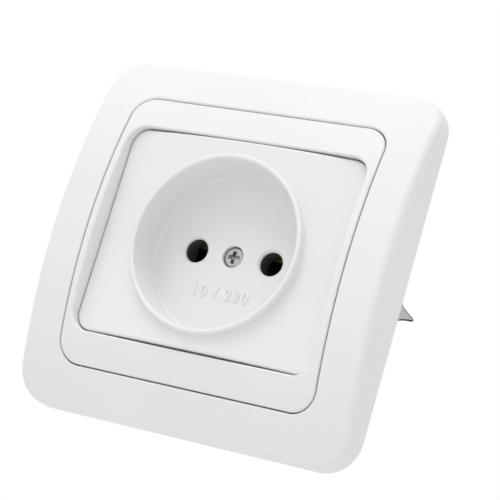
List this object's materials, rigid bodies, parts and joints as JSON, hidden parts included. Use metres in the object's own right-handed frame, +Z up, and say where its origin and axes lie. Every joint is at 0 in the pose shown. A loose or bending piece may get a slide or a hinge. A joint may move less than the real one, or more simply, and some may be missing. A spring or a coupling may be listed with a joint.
{
  "type": "ungrounded wall socket",
  "caption": "Flush two-pin wall socket with an arched square frame, a round plug cup, and a rear insert held in its wall box by spreading claws.",
  "frame": {"origin": "middle of the line between the two box screws, on the back face of the support bracket, which is the wall's surface", "axes": "+X to the right, +Z up, +Y into the wall, so the room is at negative y"},
  "size_m": [0.084, 0.0358, 0.084],
  "materials": {
    "white_plastic": "smooth moulded, soft gloss",
    "insulator": "moulded, matt",
    "plated_steel": "stamped, zinc plated",
    "contact_brass": "stamped, bright"
  },
  "bodies": {
    "body": {"outer_frame": "white_plastic", "accent_frame": "white_plastic", "cover": "white_plastic", "base": "insulator", "back_plate": "insulator", "bracket": "plated_steel", "cover_screw": "plated_steel", "centre_nut": "plated_steel", "contact_right": "contact_brass", "contact_left": "contact_brass", "contact_clip_right": "plated_steel", "contact_clip_left": "plated_steel", "terminal_right": "contact_brass", "terminal_left": "contact_brass", "terminal_screw_right": "plated_steel", "terminal_screw_left": "plated_steel", "rivet_right": "plated_steel", "rivet_left": "plated_steel", "hinge_pin_right": "plated_steel", "hinge_pin_left": "plated_steel", "claw_screw_right": "plated_steel", "claw_screw_left": "plated_steel", "claw_nut_right": "plated_steel", "claw_nut_left": "plated_steel"},
    "claw_right": {"claw_right": "plated_steel"},
    "claw_left": {"claw_left": "plated_steel"}
  },
  "joints": [
    {"name": "claw_right_swing", "type": "hinge", "parent": "body", "child": "claw_right", "pos_m": [0.0252, 0.007, 0], "axis": [0, 0, -1], "range_deg": [-25, 8]},
    {"name": "claw_left_swing", "type": "hinge", "parent": "body", "child": "claw_left", "pos_m": [-0.0252, 0.007, 0], "axis": [0, 0, 1], "range_deg": [-25, 8]}
  ]
}
